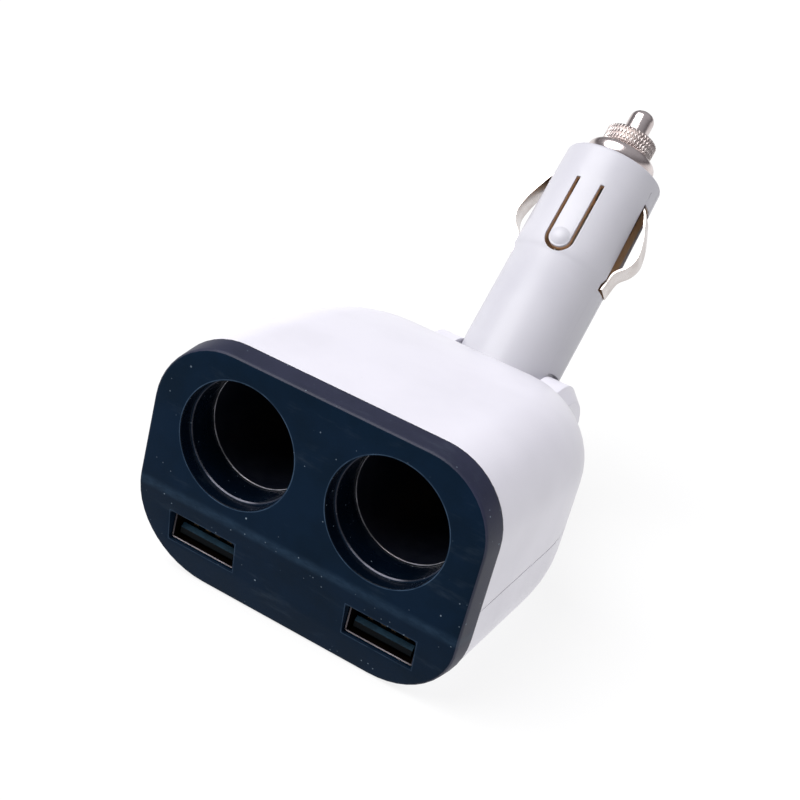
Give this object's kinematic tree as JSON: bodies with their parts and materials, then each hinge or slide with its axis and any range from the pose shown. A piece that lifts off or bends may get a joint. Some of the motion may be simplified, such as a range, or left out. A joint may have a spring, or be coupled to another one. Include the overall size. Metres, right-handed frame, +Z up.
{
  "type": "car socket splitter with usb charger",
  "caption": "Car power splitter with two sockets and two USB ports in a dark face, a white body and a plug stem that folds on a hinge at the back.",
  "frame": {"origin": "centre of the flat underside that the body stands on", "axes": "+X towards the right-hand socket seen from the face, +Y from the face back to the plug, +Z up"},
  "size_m": [0.0636, 0.1142, 0.0768],
  "materials": {
    "white_plastic": "satin moulded plastic",
    "dark_panel": "fine matte",
    "bare_steel": "bright",
    "plated_nickel": "polished plating",
    "brass": "satin",
    "black_plastic": "matte",
    "board": "gloss mask",
    "ferrite": "dull",
    "can": "sleeved",
    "wire_sheath": "satin",
    "fuse_glass": "clear with bright caps",
    "fibre": "dull"
  },
  "bodies": {
    "splitter_body": {"face_panel": "dark_panel", "upper_shell": "white_plastic", "lower_shell": "white_plastic", "left_socket_liner": "bare_steel", "right_socket_liner": "bare_steel", "left_socket_well": "black_plastic", "right_socket_well": "black_plastic", "left_centre_contact": "brass", "right_centre_contact": "brass", "positive_bus_strip": "brass", "ground_bus_strip": "bare_steel", "left_usb_shell": "bare_steel", "right_usb_shell": "bare_steel", "left_usb_tongue": "black_plastic", "right_usb_tongue": "black_plastic", "left_usb_contacts": "brass", "right_usb_contacts": "brass", "circuit_board": "board", "power_inductor": "ferrite", "capacitors": "can", "charger_chip": "black_plastic", "body_leads": "wire_sheath", "body_screws": "bare_steel"},
    "plug_stem": {"stem_front_shell": "white_plastic", "stem_back_shell": "white_plastic", "stem_leads": "wire_sheath", "spring_terminal": "brass", "tip_spring": "bare_steel"},
    "left_bow": {"left_side_contact": "plated_nickel"},
    "right_bow": {"right_side_contact": "plated_nickel"},
    "tip_collar": {"tip_washer": "fibre"},
    "tip_pin": {"contact_pin": "plated_nickel", "fuse": "fuse_glass"},
    "tip_cap": {"nose_cap": "plated_nickel"}
  },
  "joints": [
    {"name": "plug_fold", "type": "hinge", "parent": "splitter_body", "child": "plug_stem", "pos_m": [0, 0.0435, 0.0198], "axis": [1, 0, 0], "range_deg": [-51.9, 38.1]},
    {"name": "left_contact_press", "type": "hinge", "parent": "plug_stem", "child": "left_bow", "pos_m": [-0.0084, 0.07694, 0.06245], "axis": [0, -0.7869, 0.617], "range_deg": [0, 15], "stiffness_Nm_per_rad": 0.15},
    {"name": "right_contact_press", "type": "hinge", "parent": "plug_stem", "child": "right_bow", "pos_m": [0.0084, 0.07694, 0.06245], "axis": [0, 0.7869, -0.617], "range_deg": [0, 15], "stiffness_Nm_per_rad": 0.15},
    {"name": "cap_lift", "type": "slide", "parent": "plug_stem", "child": "tip_collar", "axis": [0, 0.617, 0.7869], "range_m": [0, 0.005]},
    {"name": "cap_unscrew", "type": "hinge", "parent": "tip_collar", "child": "tip_cap", "pos_m": [0, 0.08052, 0.06702], "axis": [0, 0.617, 0.7869], "range_deg": [0, 1800]},
    {"name": "pin_press", "type": "slide", "parent": "tip_collar", "child": "tip_pin", "axis": [0, 0.617, 0.7869], "range_m": [-0.0025, 0], "stiffness_N_per_m": 800, "springref_m": 0.003, "deforming": ["tip_spring"]}
  ],
  "couplings": [
    {"joint": "cap_unscrew", "follows": "cap_lift", "rad_per_m": 6283.2}
  ]
}
